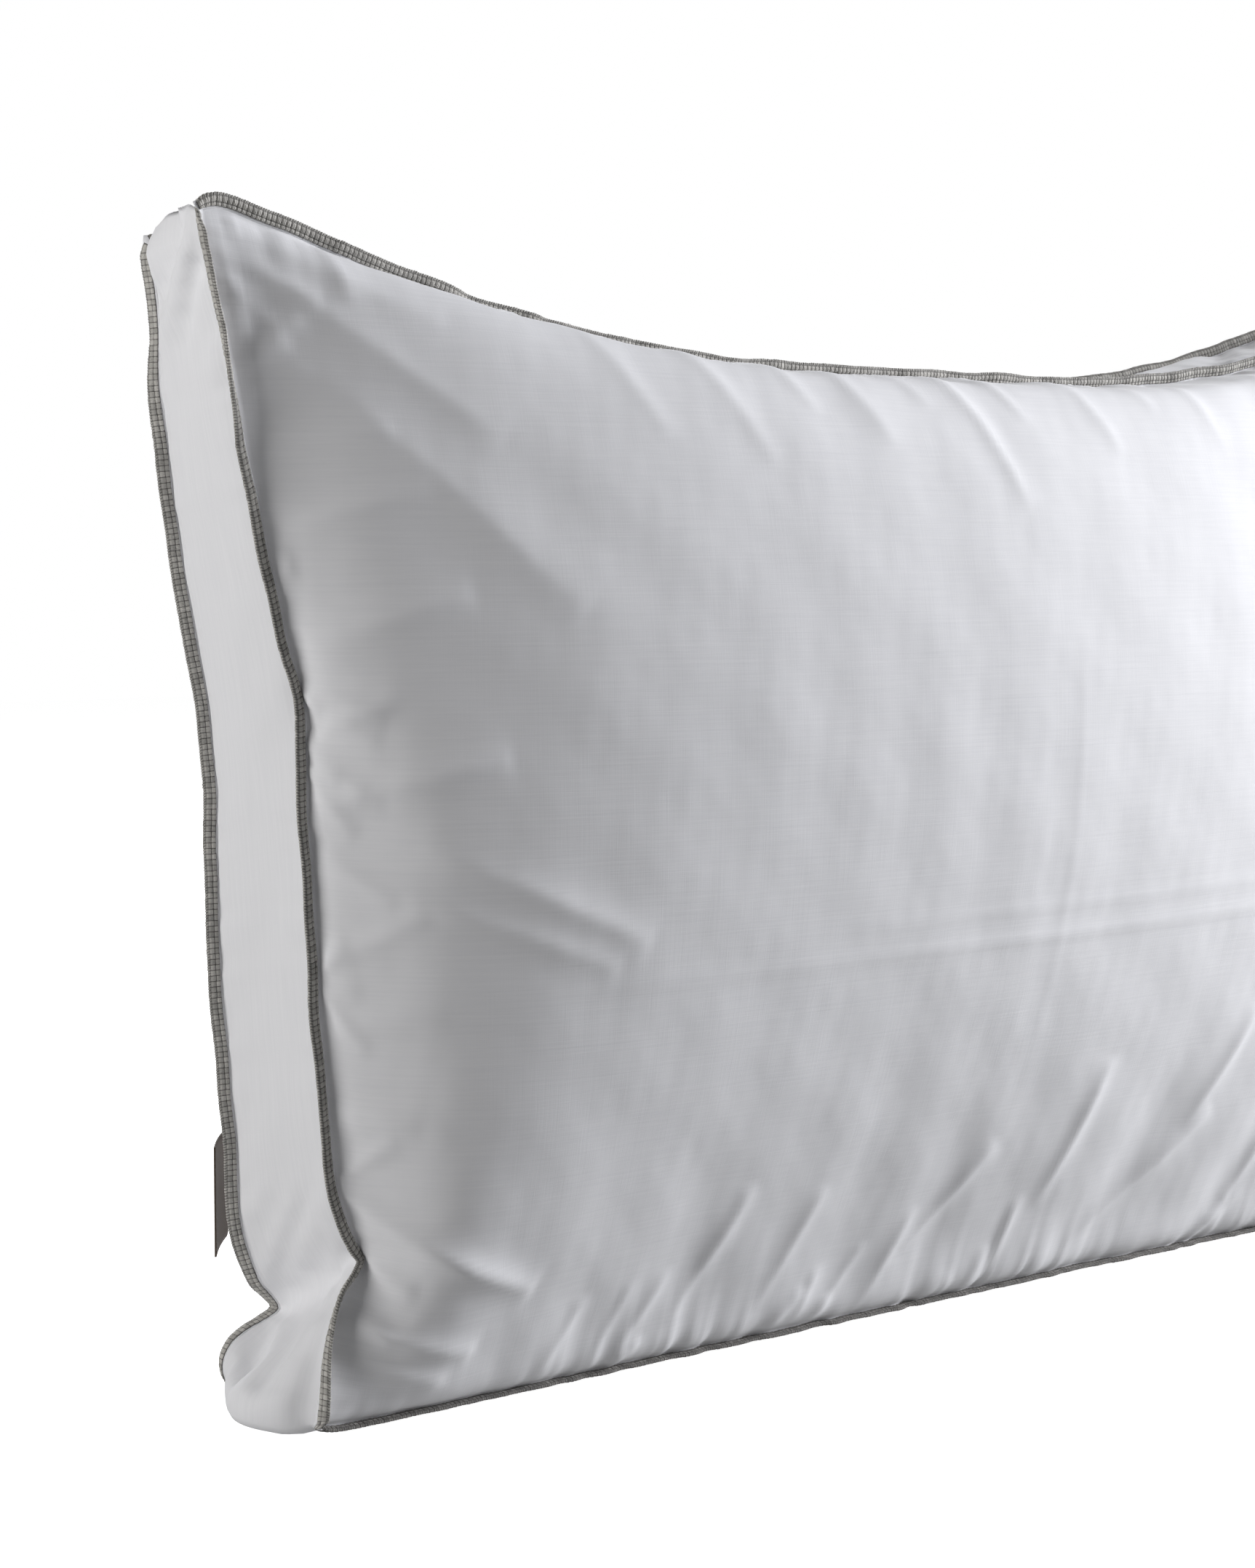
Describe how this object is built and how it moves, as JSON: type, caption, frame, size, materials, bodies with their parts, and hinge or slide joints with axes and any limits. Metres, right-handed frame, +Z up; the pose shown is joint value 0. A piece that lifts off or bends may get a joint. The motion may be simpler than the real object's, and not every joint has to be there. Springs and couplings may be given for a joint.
{
  "type": "bed pillow",
  "caption": "Gusseted bed pillow with a percale cover, overlocked edging on both seams and a sewn-in label, standing on its long edge.",
  "frame": {"origin": "on the ground under the pillow's middle, where it stands on its long lower edge", "axes": "+X along the pillow's length, -Y the way the front panel faces, +Z up"},
  "size_m": [0.8098, 0.255, 0.5057],
  "materials": {
    "percale": "matt, fine plain weave",
    "edging_thread": "matt spun thread",
    "filling_fibre": "loose fibre",
    "label_cloth": "matt"
  },
  "bodies": {
    "pillow": {"front_panel": "percale", "rear_panel": "percale", "gusset": "percale", "front_edging_top": "edging_thread", "front_edging_bottom": "edging_thread", "front_edging_left": "edging_thread", "front_edging_right": "edging_thread", "rear_edging_top": "edging_thread", "rear_edging_bottom": "edging_thread", "rear_edging_left": "edging_thread", "rear_edging_right": "edging_thread", "filling": "filling_fibre"},
    "label": {"label": "label_cloth"}
  },
  "joints": [
    {"name": "label_flap", "type": "hinge", "parent": "pillow", "child": "label", "pos_m": [-0.35163, 0.03698, 0.0865], "axis": [0, 0, 1], "range_deg": [0, 75]}
  ]
}
